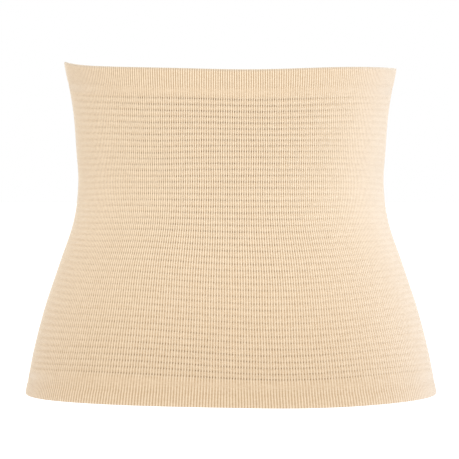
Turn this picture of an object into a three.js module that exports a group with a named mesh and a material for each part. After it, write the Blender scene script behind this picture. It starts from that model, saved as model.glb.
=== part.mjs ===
// A pull-on waist trimmer: one knitted tube, worn from the lower ribs to the hips.
// It has three pieces: a ribbed top band, the long knitted body and a ribbed hem band.
// Millimetres, +Z up. The wearer faces -Y. The origin is on the tube's axis at the waistline.

import * as THREE from 'three';

// Driving dimensions
const TOP_EDGE = 93.7; // level of the top edge, above the waistline
const HEM_EDGE = -169; // level of the hem edge, below the waistline
const TOP_BAND_HEIGHT = 21;
const HEM_BAND_HEIGHT = 23.5;
const BODY_WALL = 1.6; // a single layer of knit with raised rows
const BAND_WALL = 2.6; // a band is turned over, so it is two layers thick
const BAND_PROUD = 0.3; // the doubled band stands this much outside the body
const JOIN_GAP = 0.3; // clearance between a band and the body

// The worn form, as level sections from the top down. A section is a rounded box: halfWidth
// to each side, front and back depth from the axis, and squareness, the power of its outline,
// where 2 is an ellipse. dip and sideSag are how far the knit's rows sag over the front of the
// belly and at each side.
const SECTIONS = [
  { z: 100, halfWidth: 136.0, front: 101, back: 98, squareness: 2.35, dip: 2.9, sideSag: 0 },
  { z: 60, halfWidth: 128.9, front: 99, back: 94, squareness: 2.25, dip: 3.0, sideSag: 1.6 },
  { z: 25, halfWidth: 126.2, front: 97, back: 89, squareness: 2.15, dip: 0.8, sideSag: 3.6 },
  { z: 0, halfWidth: 124.9, front: 97, back: 86, squareness: 2.1, dip: 0.7, sideSag: 4.3 },
  { z: -30, halfWidth: 128.6, front: 100, back: 90, squareness: 2.15, dip: 1.5, sideSag: 2.3 },
  { z: -65, halfWidth: 140.2, front: 106, back: 100, squareness: 2.25, dip: 3.3, sideSag: 0 },
  { z: -100, halfWidth: 151.9, front: 112, back: 111, squareness: 2.4, dip: 5.4, sideSag: 1.5 },
  { z: -135, halfWidth: 161.1, front: 116, back: 119, squareness: 2.5, dip: 6.4, sideSag: 6.9 },
  { z: -170, halfWidth: 167.8, front: 117, back: 124, squareness: 2.6, dip: 1.9, sideSag: 1.3 },
];

// Where the rows sag, as shares of the way round. Shares start at the middle of the back and
// run by the wearer's right side, the front and the left side.
const RIGHT_SIDE = 0.25;
const LEFT_SIDE = 0.75;
const DIP_SHARE = 0.547;
const DIP_SPREAD = 0.065;
const DIP_SHIFT = 0.042; // how far the belly's dip has moved to the right side at the top edge
const SIDE_SAG_SPREAD = 0.065;

// The top edge rides up at the wearer's right side
const SIDE_LIFT = 5.7;
const SIDE_LIFT_SPREAD = 0.05;

// Fineness of the faceted walls
const SEGMENTS = 84; // flats round the tube
const BODY_STEPS = 18; // steps up the body's wall
const BAND_STEPS = 3; // steps up a band's wall
const FOLD_STEPS = 4; // steps round a band's folded edge
const OUTLINE_SAMPLES = 360; // points that measure a section's outline

const COLUMNS = ['halfWidth', 'front', 'back', 'squareness', 'dip', 'sideSag'];

// The section at height z, by a smooth cubic through the rows of SECTIONS
function sectionAt(z) {
  const last = SECTIONS.length - 1;
  let upper = 0;
  while (upper < last - 1 && z < SECTIONS[upper + 1].z) {
    upper += 1;
  }
  const near = [upper - 1, upper, upper + 1, upper + 2];
  const rows = near.map((row) => SECTIONS[THREE.MathUtils.clamp(row, 0, last)]);
  const span = rows[2].z - rows[1].z;
  const t = (z - rows[1].z) / span;
  const section = {};
  for (const name of COLUMNS) {
    const [before, start, end, after] = rows.map((row) => row[name]);
    const leave = ((end - before) / (rows[2].z - rows[0].z)) * span;
    const arrive = ((after - start) / (rows[3].z - rows[1].z)) * span;
    section[name] =
      start * (2 * t ** 3 - 3 * t ** 2 + 1) +
      leave * (t ** 3 - 2 * t ** 2 + t) +
      end * (3 * t ** 2 - 2 * t ** 3) +
      arrive * (t ** 3 - t ** 2);
  }
  return section;
}

// A section's outline, shrunk by inset. It starts and ends at the middle of the back.
function outlineOf(section, inset) {
  const power = 2 / section.squareness;
  const points = [];
  for (let k = 0; k <= OUTLINE_SAMPLES; k += 1) {
    const angle = Math.PI + (2 * Math.PI * k) / OUTLINE_SAMPLES;
    const across = Math.sin(angle);
    const ahead = Math.cos(angle);
    const depth = ahead > 0 ? section.front : section.back;
    const x = (section.halfWidth - inset) * Math.sign(across) * Math.abs(across) ** power;
    const y = -(depth - inset) * Math.sign(ahead) * Math.abs(ahead) ** power;
    points.push(new THREE.Vector2(x, y));
  }
  return points;
}

// The point at a share of the way round the section at height z, by length along its outline
function pointOnWall(z, share, inset) {
  const outline = outlineOf(sectionAt(z), inset);
  const run = [0];
  for (let k = 1; k < outline.length; k += 1) {
    run.push(run[k - 1] + outline[k].distanceTo(outline[k - 1]));
  }
  const wanted = share * run[OUTLINE_SAMPLES];
  let k = 1;
  while (run[k] < wanted) {
    k += 1;
  }
  const part = (wanted - run[k - 1]) / (run[k] - run[k - 1]);
  const at = outline[k - 1].clone().lerp(outline[k], part);
  return new THREE.Vector3(at.x, at.y, z);
}

// A smooth bump that is 1 at no distance and falls away over spread
function bump(distance, spread) {
  return Math.exp(-0.5 * (distance / spread) ** 2);
}

// The height of one row of the knit at a share of the way round. level is its height
// where it runs straight. It sags over the belly and at the sides. Near the top edge the
// belly's sag moves over to the wearer's right side, and the knit rides up there.
function rowHeight(level, share) {
  const { dip, sideSag } = sectionAt(level);
  const atRight = share - RIGHT_SIDE;
  const atLeft = share - LEFT_SIDE;
  const nearTop = Math.max(level / TOP_EDGE, 0) ** 2;
  const belly = dip * bump(share - DIP_SHARE + DIP_SHIFT * nearTop, DIP_SPREAD);
  const sides = sideSag * (bump(atRight, SIDE_SAG_SPREAD) + bump(atLeft, SIDE_SAG_SPREAD));
  const lift = SIDE_LIFT * nearTop * bump(atRight, SIDE_LIFT_SPREAD);
  return level - belly - sides + lift;
}

// A closed tube: a closed profile carried round the worn form. A profile point has a height
// from 0 at the lower edge to 1 at the upper, a rise in millimetres added to that, and an inset.
function tube(lowerLevel, upperLevel, profile) {
  const positions = [];
  const faces = [];
  const count = profile.length;
  for (let i = 0; i < SEGMENTS; i += 1) {
    const share = i / SEGMENTS;
    const low = rowHeight(lowerLevel, share);
    const high = rowHeight(upperLevel, share);
    for (const { height, rise, inset } of profile) {
      const point = pointOnWall(low + (high - low) * height + rise, share, inset);
      positions.push(point.x, point.y, point.z);
    }
    const here = i * count;
    const next = ((i + 1) % SEGMENTS) * count;
    for (let j = 0; j < count; j += 1) {
      const up = (j + 1) % count;
      faces.push(here + j, next + j, next + up);
      faces.push(here + j, next + up, here + up);
    }
  }
  const geometry = new THREE.BufferGeometry();
  geometry.setAttribute('position', new THREE.Float32BufferAttribute(positions, 3));
  geometry.setIndex(faces);
  geometry.computeVertexNormals();
  return geometry;
}

// The body's wall: up the outside and down the inside, square at both ends
function bodyProfile() {
  const outside = [];
  const inside = [];
  for (let k = 0; k <= BODY_STEPS; k += 1) {
    const height = k / BODY_STEPS;
    outside.push({ height, rise: 0, inset: 0 });
    inside.unshift({ height, rise: 0, inset: BODY_WALL });
  }
  return [...outside, ...inside];
}

// A band's wall: square where it joins the body, and folded over to a round edge at the other
// end. foldAt is 1 for a fold at the top and -1 for a fold at the bottom.
function bandProfile(foldAt) {
  const radius = BAND_WALL / 2;
  const foldHeight = foldAt > 0 ? 1 : 0;
  const outside = [];
  const fold = [];
  const inside = [];
  for (let k = 0; k < BAND_STEPS; k += 1) {
    const height = foldAt > 0 ? k / BAND_STEPS : 1 - k / BAND_STEPS;
    outside.push({ height, rise: 0, inset: -BAND_PROUD });
    inside.unshift({ height, rise: 0, inset: BAND_WALL - BAND_PROUD });
  }
  for (let k = 0; k <= FOLD_STEPS; k += 1) {
    const turn = (Math.PI * k) / FOLD_STEPS;
    const rise = foldAt * radius * (Math.sin(turn) - 1);
    const inset = radius * (1 - Math.cos(turn)) - BAND_PROUD;
    fold.push({ height: foldHeight, rise, inset });
  }
  const profile = [...outside, ...fold, ...inside];
  return foldAt > 0 ? profile : profile.reverse();
}

function piece(name, geometry, colour) {
  const yarn = new THREE.MeshStandardMaterial({ color: colour, roughness: 0.9, metalness: 0 });
  const mesh = new THREE.Mesh(geometry, yarn);
  mesh.name = name;
  return mesh;
}

const topJoin = TOP_EDGE - TOP_BAND_HEIGHT;
const hemJoin = HEM_EDGE + HEM_BAND_HEIGHT;
const half = JOIN_GAP / 2;

const trimmer = new THREE.Group();
trimmer.add(piece('top_band', tube(topJoin + half, TOP_EDGE, bandProfile(1)), '#edd5b7'));
trimmer.add(piece('knit_body', tube(hemJoin + half, topJoin - half, bodyProfile()), '#ead3b4'));
trimmer.add(piece('hem_band', tube(HEM_EDGE, hemJoin - half, bandProfile(-1)), '#e8d0b0'));

export default trimmer;
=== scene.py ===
import bpy
import numpy as np
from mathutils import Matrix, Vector


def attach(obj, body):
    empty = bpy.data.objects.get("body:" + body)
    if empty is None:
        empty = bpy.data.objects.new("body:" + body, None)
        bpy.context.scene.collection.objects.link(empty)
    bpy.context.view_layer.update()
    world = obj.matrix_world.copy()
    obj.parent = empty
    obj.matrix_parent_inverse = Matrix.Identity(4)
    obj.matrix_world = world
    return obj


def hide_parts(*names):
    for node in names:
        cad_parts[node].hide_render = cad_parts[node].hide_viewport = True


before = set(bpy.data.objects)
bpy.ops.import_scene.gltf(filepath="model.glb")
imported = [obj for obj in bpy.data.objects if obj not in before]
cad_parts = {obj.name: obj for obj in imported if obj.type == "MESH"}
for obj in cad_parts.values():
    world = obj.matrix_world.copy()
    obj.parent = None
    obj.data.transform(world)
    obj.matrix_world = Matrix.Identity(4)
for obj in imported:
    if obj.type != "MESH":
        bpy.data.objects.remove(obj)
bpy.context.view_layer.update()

# Knitted body
# The long middle of the tube is one layer of nylon and elastane yarn, knitted round with no seam.
# Upright wales of stitches stand out as fine ribs, and every few stitches a row of eyelets, small
# holes, opens between them. It is stretched tight in its worn form, narrowest at the waist.

WALES = 400
EYELET_ROWS = 46
BODY_WALL = 0.0016
TOP_EDGE = 0.0937
HEM_EDGE = -0.169
TOP_BAND_HEIGHT = 0.021
HEM_BAND_HEIGHT = 0.0235
TOP_JOIN = TOP_EDGE - TOP_BAND_HEIGHT
HEM_JOIN = HEM_EDGE + HEM_BAND_HEIGHT
ROW_PITCH = (TOP_JOIN - HEM_JOIN) / EYELET_ROWS

# Level sections of the worn form. dip, side_sag and right_sag are how far the rows sag over the
# front, at each side and at the front's right. front_stretch is how much wider than the mean the
# wales are at the front and the back, and open is how far the eyelets are pulled open.
FORM_COLUMNS = (
    "level",
    "half_width",
    "front",
    "back",
    "squareness",
    "dip",
    "side_sag",
    "right_sag",
    "front_stretch",
    "open",
)
WORN_FORM = np.array(
    [
        (-0.170, 0.1678, 0.117, 0.124, 2.60, 0.0019, 0.0013, 0.0000, -0.035, 1.10),
        (-0.135, 0.1611, 0.116, 0.119, 2.50, 0.0063, 0.0069, 0.0000, -0.040, 1.00),
        (-0.100, 0.1519, 0.112, 0.111, 2.40, 0.0052, 0.0015, -0.0009, -0.020, 0.75),
        (-0.065, 0.1402, 0.106, 0.100, 2.25, 0.0030, 0.0000, -0.0012, 0.040, 0.80),
        (-0.030, 0.1286, 0.100, 0.090, 2.15, 0.0012, 0.0023, -0.0005, 0.050, 1.00),
        (0.000, 0.1249, 0.097, 0.086, 2.10, 0.0004, 0.0043, 0.0003, 0.065, 1.05),
        (0.025, 0.1262, 0.097, 0.089, 2.15, 0.0004, 0.0036, 0.0014, 0.055, 1.15),
        (0.060, 0.1289, 0.099, 0.094, 2.25, 0.0029, 0.0016, 0.0010, 0.010, 1.24),
        (0.100, 0.1360, 0.101, 0.098, 2.35, 0.0029, 0.0000, 0.0000, -0.045, 1.30),
    ],
    dtype=[(column, float) for column in FORM_COLUMNS],
)

# Places and spreads as shares of the way round, from the middle of the back by the right side, -X
RIGHT_SIDE = 0.25
LEFT_SIDE = 0.75
DIP_SHARE = 0.547
DIP_SPREAD = 0.065
DIP_SHIFT = 0.042
SIDE_SAG_SPREAD = 0.065
RIGHT_SAG_SHARE = 0.41
RIGHT_SAG_SPREAD = 0.032
SIDE_LIFT_SPREAD = 0.05
SIDE_LIFT = 0.0057


def worn_section(z):
    """Each column of WORN_FORM at heights z, by a cubic through its rows. The slope at a row is
    that of the straight line from the row below it to the row above it."""
    level = WORN_FORM["level"]
    last = len(level) - 1
    below = np.clip(np.arange(-1, last), 0, last)
    above = np.clip(np.arange(1, last + 2), 0, last)
    start = np.clip(np.searchsorted(level, z) - 1, 0, last - 1)
    end = start + 1
    span = level[end] - level[start]
    t = (z - level[start]) / span
    section = {}
    for column in FORM_COLUMNS[1:]:
        value = WORN_FORM[column]
        slope = (value[above] - value[below]) / (level[above] - level[below])
        section[column] = (
            value[start] * (2 * t**3 - 3 * t**2 + 1)
            + slope[start] * span * (t**3 - 2 * t**2 + t)
            + value[end] * (3 * t**2 - 2 * t**3)
            + slope[end] * span * (t**3 - t**2)
        )
    return section


def outline(section, turn, inset):
    """x and y on a rounded box, |x / half width|^n + |y / depth|^n = 1 with n the squareness, made
    smaller by inset. turn is the angle from the middle of the front towards +X."""
    power = 2 / section["squareness"]
    across = np.sin(turn)
    ahead = np.cos(turn)
    depth = np.where(ahead > 0, section["front"], section["back"])
    x = (section["half_width"] - inset) * np.sign(across) * np.abs(across) ** power
    y = -(depth - inset) * np.sign(ahead) * np.abs(ahead) ** power
    return x, y


# Fineness of the table of angles, from below the hem to above the top edge
LOWEST_LEVEL = -0.18
HIGHEST_LEVEL = 0.11
LEVELS = 117
SHARES_PER_WALE = 4
OUTLINE_STEPS = 4000
TURN_LEVELS = np.linspace(LOWEST_LEVEL, HIGHEST_LEVEL, LEVELS)
TURN_SHARES = np.linspace(0, 1, SHARES_PER_WALE * WALES + 1)


def measure_turns():
    """The angle at each share of the outline's length, for each height in TURN_LEVELS: the outline
    is measured in short steps, and the running length is read backwards."""
    turn = np.linspace(-np.pi, np.pi, OUTLINE_STEPS + 1)
    x, y = outline(worn_section(TURN_LEVELS[:, None]), turn, 0)
    steps = np.hypot(np.diff(x, prepend=x[:, :1]), np.diff(y, prepend=y[:, :1]))
    run = np.cumsum(steps, axis=1)
    return np.array([np.interp(TURN_SHARES, length / length[-1], turn) for length in run])


TURNS = measure_turns()


def on_the_form(z, share, inset):
    """Points on the worn form at heights z and shares of the way round, moved in by inset. The
    angle is the mean of the four nearest in TURNS, each weighted by how near it is."""
    up = (z - TURN_LEVELS[0]) / (TURN_LEVELS[1] - TURN_LEVELS[0])
    along = share % 1 * (len(TURN_SHARES) - 1)
    level = up.astype(int)
    place = along.astype(int)
    past_level = up - level
    past_place = along - place
    low = TURNS[level, place] * (1 - past_place) + TURNS[level, place + 1] * past_place
    high = TURNS[level + 1, place] * (1 - past_place) + TURNS[level + 1, place + 1] * past_place
    turn = low * (1 - past_level) + high * past_level
    x, y = outline(worn_section(z), turn, inset)
    return np.stack(np.broadcast_arrays(x, y, z), axis=-1)


def bell(distance, spread):
    """A bell curve, exp(-0.5 (distance / spread)^2): 1 at no distance, falling away over spread."""
    return np.exp(-0.5 * (distance / spread) ** 2)


def row_height(level, share):
    """The height of a row of the knit: its level, less bell-shaped sags over the front, at the sides
    and at the front's right, plus a bell-shaped lift at the right side. The lift, and a shift of the
    front's sag towards that side, grow with the square of the level."""
    section = worn_section(level)
    near_top = np.maximum(level / TOP_EDGE, 0) ** 2
    over_front = bell(share - DIP_SHARE + DIP_SHIFT * near_top, DIP_SPREAD)
    at_sides = bell(share - RIGHT_SIDE, SIDE_SAG_SPREAD) + bell(share - LEFT_SIDE, SIDE_SAG_SPREAD)
    at_front_right = bell(share - RIGHT_SAG_SHARE, RIGHT_SAG_SPREAD)
    sags = (
        section["dip"] * over_front
        + section["side_sag"] * at_sides
        + section["right_sag"] * at_front_right
    )
    lift = SIDE_LIFT * near_top * bell(share - RIGHT_SIDE, SIDE_LIFT_SPREAD)
    return level - sags + lift


# The wander of the knit, in wales and in metres. WAVES is a whole number of waves round the tube,
# PER_ROW is a wave's angle for each row, and SWING is how far one wave moves another's angle.
WALE_WANDER = 0.04
ROUND_WAVES = 17
ROUND_SWING = 1.7
ROUND_SWING_PER_ROW = 0.41
UPWARD_PER_ROW = 0.61
UPWARD_SWING = 2
UPWARD_SWING_WAVES = 11
ROW_WANDER = 0.00012
SLOW_SWAY_PER_ROW = 2.3
SLOW_SWAY_WAVES = 6
QUICK_SWAY_PER_ROW = 5.1
QUICK_SWAY_WAVES = 3


def knit_points(row, wale, inset, rise=0):
    """Points of the knit by row and wale number, moved in by inset and up by rise. Rows stand one
    pitch apart above the hem join. Wales are evenly spaced, plus a wave that widens them at the front
    and the back and narrows them at the sides. Both wander, each on the sum of two sine waves."""
    round_tube = 2 * np.pi * wale / WALES
    round_drift = np.sin(ROUND_WAVES * round_tube + ROUND_SWING * np.sin(ROUND_SWING_PER_ROW * row))
    upward_drift = np.sin(UPWARD_PER_ROW * row + UPWARD_SWING * np.sin(UPWARD_SWING_WAVES * round_tube))
    slow_sway = np.sin(SLOW_SWAY_PER_ROW * row + SLOW_SWAY_WAVES * round_tube)
    quick_sway = np.sin(QUICK_SWAY_PER_ROW * row + QUICK_SWAY_WAVES * round_tube)
    level = HEM_JOIN + ROW_PITCH * row + ROW_WANDER * (slow_sway + quick_sway)
    even = (wale + WALE_WANDER * (round_drift + upward_drift)) / WALES
    share = even + worn_section(level)["front_stretch"] * np.sin(4 * np.pi * even) / (4 * np.pi)
    return on_the_form(row_height(level, share) + rise, share, inset)


def ripple(count):
    """0.5 + 0.5 cos(2 pi count): 1 on each whole number and 0 half way between two."""
    return 0.5 + 0.5 * np.cos(2 * np.pi * count)


TILE_WALES = 40
TILE_ROWS = 23
KNIT_MAP = "OFBake"


def knit_tube(name, points, wale, down, kept, corners):
    """A closed tube from a grid of points, profile by columns. Each face joins four neighbours, the
    last column meets the first and the profile closes on itself. The knit's map repeats every
    TILE_WALES across, and down gives its other place for each point of the profile. kept holds values
    for each point that the material reads. Shading is smooth but for the rings of edges at the
    corners."""
    rows, columns = points.shape[:2]
    i, j = np.meshgrid(np.arange(rows), np.arange(columns), indexing="ij")
    up = (i + 1) % rows
    right = (j + 1) % columns
    faces = np.stack(
        [i * columns + j, i * columns + right, up * columns + right, up * columns + j], axis=-1
    )
    across_here = np.append(wale, WALES) / TILE_WALES
    down_here = np.append(down, down[0])
    places = np.stack(
        [
            np.stack([across_here[j], down_here[i]], axis=-1),
            np.stack([across_here[j + 1], down_here[i]], axis=-1),
            np.stack([across_here[j + 1], down_here[i + 1]], axis=-1),
            np.stack([across_here[j], down_here[i + 1]], axis=-1),
        ],
        axis=2,
    )
    mesh = bpy.data.meshes.new(name)
    mesh.from_pydata(points.reshape(-1, 3), [], faces.reshape(-1, 4))
    mesh.uv_layers.new(name=KNIT_MAP).uv.foreach_set("vector", places.ravel())
    for label, value in kept.items():
        whole = np.broadcast_to(value, (rows, columns)).ravel()
        mesh.attributes.new(label, "FLOAT", "POINT").data.foreach_set("value", whole)
    mesh.shade_smooth()
    ends = np.empty(2 * len(mesh.edges), dtype=np.int32)
    mesh.edges.foreach_get("vertices", ends)
    ring = ends.reshape(-1, 2) // columns
    sharp = (ring[:, 0] == ring[:, 1]) & np.isin(ring[:, 0], corners)
    mesh.attributes.new("sharp_edge", "BOOLEAN", "EDGE").data.foreach_set("value", sharp)
    tube = bpy.data.objects.new(name, mesh)
    bpy.context.collection.objects.link(tube)
    return tube


# The depths of the outside's relief, then where it lies flattest, how much of it is lost there and
# over what share of the way round. Shades run from 0, the yarn's own colour, to 1, painted shade.
WALE_DEPTH = 0.00045
GROOVE_DEPTH = 0.00004
EYELET_DEPTH = 0.0007
FULL_RELIEF_WIDTH = 0.14
FLAT_RIGHT = 0.3
FLAT_LEFT = 0.7
LOSS_AT_RIGHT = 0.36
LOSS_AT_LEFT = 0.66
FLAT_SPREAD = 0.085
BACK_SPREAD = 0.05
FLAT_CLOSING = 0.42
CLOSING_SPREAD = 0.05
SMOOTH_SHADE = 0.86
RELIEF_LIGHTENS = 0.34
FLAT_SHADE = 0.05


def row_section(row):
    """The section of the worn form at a row's level, one pitch for each row above the hem join."""
    return worn_section(HEM_JOIN + ROW_PITCH * row)


def row_relief(row):
    """The share of the full relief that a row of the knit keeps: the square of FULL_RELIEF_WIDTH over
    its half width, because it flattens as it is stretched wider."""
    return (FULL_RELIEF_WIDTH / row_section(row)["half_width"]) ** 2


def flat_bell(wale, place, spread):
    """A bell at a place round the tube: it falls away over spread towards the middle of the front, and
    over BACK_SPREAD towards the back."""
    to_front = (wale / WALES - place) * np.sign(0.5 - place)
    return bell(to_front, np.where(to_front > 0, spread, BACK_SPREAD))


def both_flats(wale, spread):
    """The sum of two bells, one at each place where the knit lies flattest."""
    return flat_bell(wale, FLAT_RIGHT, spread) + flat_bell(wale, FLAT_LEFT, spread)


def relief_left(row, wale):
    """The share of the relief that is left at each place: all of it, less a bell-shaped loss where the
    front turns into each side and the tight curve pulls the knit flat. The loss is greatest at the
    waist: it goes with the row's relief at the left and with its square at the right. As the relief
    also spreads the painted shade, the larger loss at the left weakens the painted shade on the side
    that the side light falls on."""
    relief = row_relief(row)
    at_right = LOSS_AT_RIGHT * relief**2 * flat_bell(wale, FLAT_RIGHT, FLAT_SPREAD)
    at_left = LOSS_AT_LEFT * relief * flat_bell(wale, FLAT_LEFT, FLAT_SPREAD)
    return 1 - at_right - at_left


def eyelet_opening(row, wale):
    """How far each eyelet is open: as far as its row is, times the relief that is left, less a
    narrower bell-shaped loss at the same two places."""
    closing = FLAT_CLOSING * both_flats(wale, CLOSING_SPREAD)
    return row_section(row)["open"] * relief_left(row, wale) * (1 - closing)


def middle_shade(row, wale):
    """The mean shade of the yarn: SMOOTH_SHADE less RELIEF_LIGHTENS times the row's relief, so darker
    where the row is stretched wider and keeps less relief, plus a bell of FLAT_SHADE where the knit lies
    flattest."""
    return SMOOTH_SHADE - RELIEF_LIGHTENS * row_relief(row) + FLAT_SHADE * both_flats(wale, FLAT_SPREAD)


def body_points(row, wale, inside):
    """The body's wall. The outside sinks between the wales and in the groove of each eyelet row, by a
    depth times one less a ripple, and deepest at the eyelets, by the product of the two. The inside
    is smooth."""
    valley = 1 - ripple(wale)
    groove = 1 - ripple(row)
    ribs = (WALE_DEPTH * valley + GROOVE_DEPTH * groove) * row_relief(row)
    eyelets = EYELET_DEPTH * valley * groove * eyelet_opening(row, wale)
    outside = ribs * relief_left(row, wale) + eyelets
    return knit_points(row, wale, np.where(inside, BODY_WALL, outside))


INNER_STEPS = 16
body_wale = np.arange(2 * WALES) / 2
outer_row = np.arange(2 * EYELET_ROWS + 1) / 2
inner_row = np.linspace(EYELET_ROWS, 0, INNER_STEPS + 1)
body_row = np.append(outer_row, inner_row)
body_inside = np.arange(len(body_row)) >= len(outer_row)
body_place = (body_row[:, None], body_wale[None, :])
body_kept = {
    "relief": row_relief(body_row)[:, None] * relief_left(*body_place),
    "middle": middle_shade(*body_place),
    "open": eyelet_opening(*body_place),
}
body = knit_tube(
    "openwork_body",
    body_points(*body_place, body_inside[:, None]),
    body_wale,
    body_row / TILE_ROWS,
    body_kept,
    [0, len(outer_row) - 1, len(outer_row), len(body_row) - 1],
)


def number(tree, operation, *values):
    """One Math node's result, from sockets and plain numbers."""
    node = tree.nodes.new("ShaderNodeMath")
    node.operation = operation
    for socket, value in zip(node.inputs, values):
        if isinstance(value, (int, float)):
            socket.default_value = value
        else:
            tree.links.new(value, socket)
    return node.outputs[0]


def ripple_node(tree, count):
    """The same ripple as on the mesh: 0.5 + 0.5 cos(2 pi count)."""
    wave = number(tree, "COSINE", number(tree, "MULTIPLY", count, 2 * np.pi))
    return number(tree, "MULTIPLY_ADD", wave, 0.5, 0.5)


def past_half_node(tree, count):
    """How far a count is past the half way between its whole numbers, from -0.5 to 0.5."""
    return number(tree, "SUBTRACT", number(tree, "FRACT", count), 0.5)


def spread_node(tree, value, spread):
    """A value from 0 to 1 spread about nothing: spread times the value, less half of spread."""
    return number(tree, "MULTIPLY_ADD", value, spread, -spread / 2)


def step_node(tree, value, low, high):
    """A smooth step from 0 at low to 1 at high."""
    node = tree.nodes.new("ShaderNodeMapRange")
    node.interpolation_type = "SMOOTHSTEP"
    tree.links.new(value, node.inputs["Value"])
    node.inputs["From Min"].default_value = low
    node.inputs["From Max"].default_value = high
    return node.outputs["Result"]


def blend_node(tree, factor, first, second):
    """A mix from first to second by factor. A colour is a socket or three linear values."""
    node = tree.nodes.new("ShaderNodeMix")
    node.data_type = "RGBA"
    tree.links.new(factor, node.inputs["Factor"])
    for socket, colour in ((node.inputs[6], first), (node.inputs[7], second)):
        if isinstance(colour, tuple):
            socket.default_value = (*colour, 1)
        else:
            tree.links.new(colour, socket)
    return node.outputs[2]


def chance_node(tree, across, down):
    """A chance value from 0 to 1 for each whole cell of two counts."""
    cell = tree.nodes.new("ShaderNodeCombineXYZ")
    tree.links.new(number(tree, "FLOOR", across), cell.inputs["X"])
    tree.links.new(number(tree, "FLOOR", down), cell.inputs["Y"])
    chance = tree.nodes.new("ShaderNodeTexWhiteNoise")
    chance.noise_dimensions = "2D"
    tree.links.new(cell.outputs["Vector"], chance.inputs["Vector"])
    return chance.outputs["Value"]


def stored_node(tree, name):
    """A value kept on the mesh."""
    node = tree.nodes.new("ShaderNodeAttribute")
    node.attribute_name = name
    return node.outputs["Fac"]


YARN_GLOSS = 0.35
SHEEN = 1.0
SHEEN_ROUGHNESS = 0.5
SHEEN_TINT = (1.0, 0.93, 0.83, 1)


def yarn_material(name, down_count):
    """An empty cloth material: matt, with the soft sheen of fine filament yarn. Returns the material,
    its tree and shader, the wale count, and the other place on the map times down_count. Both counts
    start again at each tile of the map, so that whatever reads them repeats with it."""
    material = bpy.data.materials.new(name)
    material.use_nodes = True
    tree = material.node_tree
    shader = tree.nodes["Principled BSDF"]
    shader.inputs["Specular IOR Level"].default_value = YARN_GLOSS
    shader.inputs["Sheen Weight"].default_value = SHEEN
    shader.inputs["Sheen Roughness"].default_value = SHEEN_ROUGHNESS
    shader.inputs["Sheen Tint"].default_value = SHEEN_TINT
    places = tree.nodes.new("ShaderNodeUVMap")
    places.uv_map = KNIT_MAP
    split = tree.nodes.new("ShaderNodeSeparateXYZ")
    tree.links.new(places.outputs["UV"], split.inputs["Vector"])
    wale = number(tree, "MULTIPLY", number(tree, "FRACT", split.outputs["X"]), TILE_WALES)
    down = number(tree, "MULTIPLY", number(tree, "FRACT", split.outputs["Y"]), down_count)
    return material, tree, shader, wale, down


STITCH_SLANT = 1.4
WALE_PART = 0.75
STITCH_PART = 0.25
STITCH_HEIGHT = 0.0004
BUMP_STRENGTH = 0.7
HOLLOW_ROUGHNESS = 0.85
CREST_SMOOTHING = 0.25


def stitch_node(tree, wale, course):
    """The legs of the stitches: a ripple along each wale, slanted up on both sides of its middle, so
    that each stitch makes a V."""
    from_middle = number(tree, "ABSOLUTE", past_half_node(tree, wale))
    return ripple_node(tree, number(tree, "MULTIPLY_ADD", from_middle, STITCH_SLANT, course))


def yarn_height(tree, wale, stitch):
    """The height of the yarn from 0 to 1: three parts of the wale's ripple to one of the stitch."""
    across = number(tree, "MULTIPLY", ripple_node(tree, wale), WALE_PART)
    return number(tree, "MULTIPLY_ADD", stitch, STITCH_PART, across)


def raise_stitches(tree, shader, height):
    """Bumps the surface by a height from 0 to 1. The tops, where filaments lie straight and are rubbed
    in wear, are a little smoother than the hollows: the roughness falls with the height."""
    bump = tree.nodes.new("ShaderNodeBump")
    bump.inputs["Strength"].default_value = BUMP_STRENGTH
    bump.inputs["Distance"].default_value = STITCH_HEIGHT
    tree.links.new(height, bump.inputs["Height"])
    tree.links.new(bump.outputs["Normal"], shader.inputs["Normal"])
    roughness = number(tree, "MULTIPLY_ADD", height, -CREST_SMOOTHING, HOLLOW_ROUGHNESS)
    tree.links.new(roughness, shader.inputs["Roughness"])


# The light colour is the yarn's own on a crest, made a little whiter as painted highlight; the dark one
# is painted shade for the hollows beside the crests and between the stitches.
YARN_LIGHT = (0.95, 0.76, 0.535)
YARN_PAINTED_SHADE = (0.575, 0.387, 0.215)
WALE_SIDE_PAINTED_SHADE = 0.88
LEG_PAINTED_SHADE = 0.15
UNEVEN_SHADE = 0.16


def yarn_colour(tree, wale, course, stitch):
    """Light on each wale's crest, with painted shade to each side and between stitches, spread by the
    relief about the middle shade. A chance value makes each stitch a little lighter or darker."""
    # The legs and the wale's sides are the painted shade between the stitches and to each side of the
    # crest.
    legs = spread_node(tree, stitch, -LEG_PAINTED_SHADE)
    painted_sides = spread_node(tree, ripple_node(tree, wale), -WALE_SIDE_PAINTED_SHADE)
    uneven = spread_node(tree, chance_node(tree, wale, course), UNEVEN_SHADE)
    relief = stored_node(tree, "relief")
    spread = number(tree, "MULTIPLY_ADD", number(tree, "ADD", painted_sides, legs), relief, uneven)
    shade = number(tree, "ADD", spread, stored_node(tree, "middle"))
    return blend_node(tree, shade, YARN_LIGHT, YARN_PAINTED_SHADE)


# An eyelet's half width in wales and half height in rows. Its painted shade, the dark seen through
# the hole, is full inside OVAL_CORE and ends at OVAL_RIM, both as squares of the oval's radius.
# The hollow colour is painted shade, in the eyelets and in the bottoms of the rib bands' valleys.
HOLLOW_PAINTED_SHADE = (0.33, 0.2, 0.1)
EYELET_HALF_WIDTH = 0.24
EYELET_HALF_HEIGHT = 0.19
OVAL_CORE = 0.25
OVAL_RIM = 1.3
LEAST_OPEN = 0.4
CHANCE_OPEN = 0.6
COURSES_PER_ROW = 5


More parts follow.
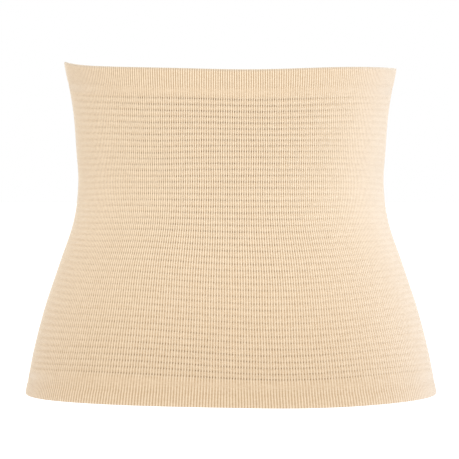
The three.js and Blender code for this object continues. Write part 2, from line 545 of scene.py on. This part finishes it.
def openwork_material():
    """Yarn with eyelets, small upright ovals between the wales at half a row, where the squares of the
    two distances from the middle, each over its half size, add up to little. Each eyelet is painted
    shade, the dark seen through the hole. A chance value for each makes some more open than others."""
    material, tree, shader, wale, row = yarn_material("openwork_knit", TILE_ROWS)
    course = number(tree, "MULTIPLY", row, COURSES_PER_ROW)
    stitch = stitch_node(tree, wale, course)
    aside = number(tree, "DIVIDE", past_half_node(tree, wale), EYELET_HALF_WIDTH)
    above = number(tree, "DIVIDE", past_half_node(tree, row), EYELET_HALF_HEIGHT)
    oval = number(tree, "ADD", number(tree, "POWER", aside, 2), number(tree, "POWER", above, 2))
    closed = step_node(tree, oval, OVAL_CORE, OVAL_RIM)
    uneven = number(tree, "MULTIPLY_ADD", chance_node(tree, wale, row), CHANCE_OPEN, LEAST_OPEN)
    # eyelet is the strength of the painted shade in each eyelet.
    eyelet = number(tree, "MULTIPLY", number(tree, "SUBTRACT", 1, closed), uneven)
    eyelet = number(tree, "MULTIPLY", eyelet, stored_node(tree, "open"))
    colour = yarn_colour(tree, wale, course, stitch)
    tree.links.new(blend_node(tree, eyelet, colour, HOLLOW_PAINTED_SHADE), shader.inputs["Base Color"])
    raise_stitches(tree, shader, number(tree, "MULTIPLY", yarn_height(tree, wale, stitch), closed))
    return material


body.data.materials.append(openwork_material())
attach(body, "root")
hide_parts("knit_body")

# Top band and hem band
# Each end of the tube is a plain rib with no holes. Its last part is a welt, turned over to the
# inside and joined back, so that it is two layers thick and stands a little proud, with a round
# folded edge.

BAND_WALL = 0.0026
BAND_PROUD = 0.0003
RIB_RELIEF = 1.15
RIB_SHADE = 0.03

# Places and spreads as shares of a band's height, from 0 at the join to 1 at the folded edge
PLAIN_MIDDLE = 0.17
PLAIN_SPREAD = 0.09
PLAIN_LOSS = 0.55
WELT_STEP = 0.05
CREASE_DEPTH = 0.0001
CREASE_SPREAD = 0.06
# The folded edge is painted lighter, by a bell of painted light of this strength over EDGE_SPREAD.
EDGE_PAINTED_LIGHT = 0.08
EDGE_SPREAD = 0.08


def band_relief(row, height, wale):
    """The share of the full relief that a band's ribs have: RIB_RELIEF times that of the knit, less a
    bell-shaped loss over the plainer strip between the join and the welt."""
    plain = PLAIN_LOSS * bell(height - PLAIN_MIDDLE, PLAIN_SPREAD)
    return RIB_RELIEF * row_relief(row) * relief_left(row, wale) * (1 - plain)


def band_points(row, height, turn, wale, welt_starts, fold_way):
    """A band's wall: height runs from 0 at the join to 1 at the folded edge. There the wall follows
    half a circle, turn from 0 outside to pi inside, about a line half a wall's thickness in, and
    fold_way is 1 for a fold at the top and -1 for one at the hem. The outside sinks between the ribs,
    and where the welt starts it dips in a bell-shaped crease and steps out."""
    step = np.clip((height - welt_starts) / WELT_STEP, 0, 1)
    crease = CREASE_DEPTH * bell(height - welt_starts, CREASE_SPREAD)
    proud = BAND_PROUD * step**2 * (3 - 2 * step) - crease
    ribs = WALE_DEPTH * (1 - ripple(wale)) * band_relief(row, height, wale)
    outside = (1 + np.cos(turn)) / 2
    inset = (ribs - proud) * outside + (BAND_WALL - BAND_PROUD) * (1 - outside)
    rise = fold_way * BAND_WALL / 2 * (np.sin(turn) - 1) * (height == 1)
    return knit_points(row, wale, inset, rise)


def band_shade(row, height, wale, welt_starts, crease):
    """The mean shade of a band's yarn: RIB_SHADE past that of the knit, with a bell of painted shade of
    strength crease where the welt starts and a paler bell of painted light along the folded edge."""
    # A bell of painted light along the folded edge, and one of painted shade where the welt starts.
    worn = EDGE_PAINTED_LIGHT * bell(height - 1, EDGE_SPREAD)
    crease_painted_shade = crease * bell(height - welt_starts, CREASE_SPREAD)
    return middle_shade(row, wale) + RIB_SHADE + crease_painted_shade - worn


# The rim's line of painted shade is full to RIM_FULL and ends at RIM_ENDS, each side of the middle of
# the band's map
RIM_PAINTED_SHADE = (0.42, 0.35, 0.26)
RIM_FULL = 0.03
RIM_ENDS = 0.06
VALLEY_POWER = 3
VALLEY_PAINTED_SHADE = 0.25
BAND_COURSES = 46


def rib_material():
    """Yarn in plain ribs, with painted shade in the narrow bottom of the valley between two ribs, one
    less the ripple to the power VALLEY_POWER, and a greyer line of painted shade along a folded edge by
    the band's rim value."""
    material, tree, shader, wale, down = yarn_material("rib_knit", 1)
    course = number(tree, "MULTIPLY", down, BAND_COURSES)
    stitch = stitch_node(tree, wale, course)
    # valley is the strength of the painted shade in the bottom of each valley.
    below_crest = number(tree, "SUBTRACT", 1, ripple_node(tree, wale))
    valley = number(tree, "POWER", below_crest, VALLEY_POWER)
    valley = number(tree, "MULTIPLY", valley, stored_node(tree, "relief"))
    valley = number(tree, "MULTIPLY", valley, VALLEY_PAINTED_SHADE)
    colour = blend_node(tree, valley, yarn_colour(tree, wale, course, stitch), HOLLOW_PAINTED_SHADE)
    from_rim = number(tree, "ABSOLUTE", past_half_node(tree, down))
    on_rim = number(tree, "SUBTRACT", 1, step_node(tree, from_rim, RIM_FULL, RIM_ENDS))
    # rim is the strength of the painted shade line along the folded edge.
    rim = number(tree, "MULTIPLY", on_rim, stored_node(tree, "rim"))
    tree.links.new(blend_node(tree, rim, colour, RIM_PAINTED_SHADE), shader.inputs["Base Color"])
    raise_stitches(tree, shader, yarn_height(tree, wale, stitch))
    return material


BAND_STEPS = 20
FOLD_STARTS = 0.94
FOLD_STEPS = 8
FOLD_ON_MAP = 0.04
rib_knit = rib_material()


def rib_band(name, node, join_row, edge_row, welt_starts, crease, rim):
    """One band, from its join to its folded edge and back down the inside. The welt starts at a share
    of its height, crease is how much painted shade lies there, and rim is how far its edge is greyed
    with painted shade. On the map the wall takes equal steps to the fold, and the fold takes
    FOLD_ON_MAP to each side of the middle."""
    wall = np.linspace(0, FOLD_STARTS, BAND_STEPS, endpoint=False)
    fold = np.linspace(0, np.pi, FOLD_STEPS + 1)
    height = np.concatenate([wall, np.ones(FOLD_STEPS + 1), wall[::-1]])
    turn = np.concatenate([np.zeros(BAND_STEPS), fold, np.full(BAND_STEPS, np.pi)])
    out_to_fold = (0.5 - FOLD_ON_MAP) * wall / FOLD_STARTS
    over_fold = 0.5 + FOLD_ON_MAP * (2 * fold / np.pi - 1)
    down = np.concatenate([out_to_fold, over_fold, 1 - out_to_fold[::-1]])
    fold_way = np.sign(edge_row - join_row)
    if fold_way < 0:
        height, turn, down = height[::-1], turn[::-1], down[::-1]
    height = height[:, None]
    row = join_row + (edge_row - join_row) * height
    band = knit_tube(
        name,
        band_points(row, height, turn[:, None], body_wale, welt_starts, fold_way),
        body_wale,
        down,
        {
            "relief": band_relief(row, height, body_wale),
            "middle": band_shade(row, height, body_wale, welt_starts, crease),
            "rim": rim,
        },
        [0, len(down) - 1],
    )
    band.data.materials.append(rib_knit)
    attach(band, "root")
    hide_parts(node)
    return band


# Each band's crease value is the strength of the painted shade where its welt starts, and its rim value
# that of the painted shade line along its folded edge.
TOP_WELT_STARTS = 0.3
TOP_CREASE_PAINTED_SHADE = 0.01
TOP_RIM = 0.35
top_edge_row = EYELET_ROWS + TOP_BAND_HEIGHT / ROW_PITCH
top_band = rib_band(
    "top_rib_band", "top_band", EYELET_ROWS, top_edge_row, TOP_WELT_STARTS, TOP_CREASE_PAINTED_SHADE, TOP_RIM
)
HEM_WELT_STARTS = 0.54
HEM_CREASE_PAINTED_SHADE = 0.06
HEM_RIM = 0.0
hem_edge_row = -HEM_BAND_HEIGHT / ROW_PITCH
hem_band = rib_band(
    "hem_rib_band", "hem_band", 0, hem_edge_row, HEM_WELT_STARTS, HEM_CREASE_PAINTED_SHADE, HEM_RIM
)

# Studio
# A wide pale floor below, an even white surround and two large soft lights, one high in front and
# one out at the left side, +X. The floor and the surround look whiter to the camera than the light
# that they give.

FLOOR_LEVEL = -0.45
FLOOR_HALF = 12.0
FLOOR_CORNERS = ((-1, -1), (1, -1), (1, 1), (-1, 1))
FLOOR_GREY = (0.8, 0.8, 0.8, 1)
FLOOR_ROUGHNESS = 0.9
FLOOR_GIVES = 0.277
FLOOR_SEEN = 0.6
SURROUND_GIVES = 0.9
SURROUND_SEEN = 1.0
WHITE = (1, 1, 1, 1)


def seen_glow(tree, given, seen):
    """A strength that is given for the light that reaches the tube and seen for the camera."""
    path = tree.nodes.new("ShaderNodeLightPath")
    return number(tree, "MULTIPLY_ADD", path.outputs["Is Camera Ray"], seen - given, given)


floor_points = [(FLOOR_HALF * x, FLOOR_HALF * y, FLOOR_LEVEL) for x, y in FLOOR_CORNERS]
floor_mesh = bpy.data.meshes.new("floor")
floor_mesh.from_pydata(floor_points, [], [(0, 1, 2, 3)])
floor = bpy.data.objects.new("floor", floor_mesh)
bpy.context.collection.objects.link(floor)
pale = bpy.data.materials.new("pale_floor")
pale.use_nodes = True
pale_shader = pale.node_tree.nodes["Principled BSDF"]
pale_shader.inputs["Base Color"].default_value = FLOOR_GREY
pale_shader.inputs["Roughness"].default_value = FLOOR_ROUGHNESS
pale_shader.inputs["Emission Color"].default_value = WHITE
floor_glow = seen_glow(pale.node_tree, FLOOR_GIVES, FLOOR_SEEN)
pale.node_tree.links.new(floor_glow, pale_shader.inputs["Emission Strength"])
floor_mesh.materials.append(pale)

world = bpy.data.worlds.new("white_surround")
world.use_nodes = True
background = world.node_tree.nodes["Background"]
background.inputs["Color"].default_value = WHITE
surround_glow = seen_glow(world.node_tree, SURROUND_GIVES, SURROUND_SEEN)
world.node_tree.links.new(surround_glow, background.inputs["Strength"])
bpy.context.scene.world = world
bpy.context.scene.view_settings.view_transform = "Standard"

KEY_PLACE = (-0.06, -0.8, 0.9)
KEY_SIZE = 0.8
KEY_POWER = 6.3
KEY_COLOUR = (0.8, 0.88, 1.0)
SIDE_PLACE = (1.74, 0.2, 0.15)
SIDE_SIZE = 1.2
SIDE_POWER = 15.2
SIDE_COLOUR = (0.55, 0.7, 1.0)


def soft_light(name, place, size, power, colour):
    """A square area light at place, turned to face the origin, at the waist."""
    data = bpy.data.lights.new(name, "AREA")
    data.size = size
    data.energy = power
    data.color = colour
    light = bpy.data.objects.new(name, data)
    light.location = place
    light.rotation_euler = (-Vector(place)).to_track_quat("-Z", "Y").to_euler()
    bpy.context.collection.objects.link(light)


soft_light("key_light", KEY_PLACE, KEY_SIZE, KEY_POWER, KEY_COLOUR)
soft_light("side_light", SIDE_PLACE, SIDE_SIZE, SIDE_POWER, SIDE_COLOUR)

# Camera
# It stands a little above the waist and looks slightly down at the middle of the tube. The lens is
# set from the size of a pixel at the tube's axis.

CAMERA_PLACE = Vector((-0.0012, -1.85, 0.05))
CAMERA_AIM = Vector((-0.0012, 0.0, -0.038))
IMAGE_WIDTH = 459
PIXEL_AT_AXIS = 0.00082
FARTHEST_SEEN = 100
camera_data = bpy.data.cameras.new("camera")
camera = bpy.data.objects.new("camera", camera_data)
sight = CAMERA_AIM - CAMERA_PLACE
camera.location = CAMERA_PLACE
camera.rotation_euler = sight.to_track_quat("-Z", "Y").to_euler()
camera_data.lens = camera_data.sensor_width * sight.length / (IMAGE_WIDTH * PIXEL_AT_AXIS)
camera_data.clip_end = FARTHEST_SEEN
bpy.context.collection.objects.link(camera)
bpy.context.scene.camera = camera
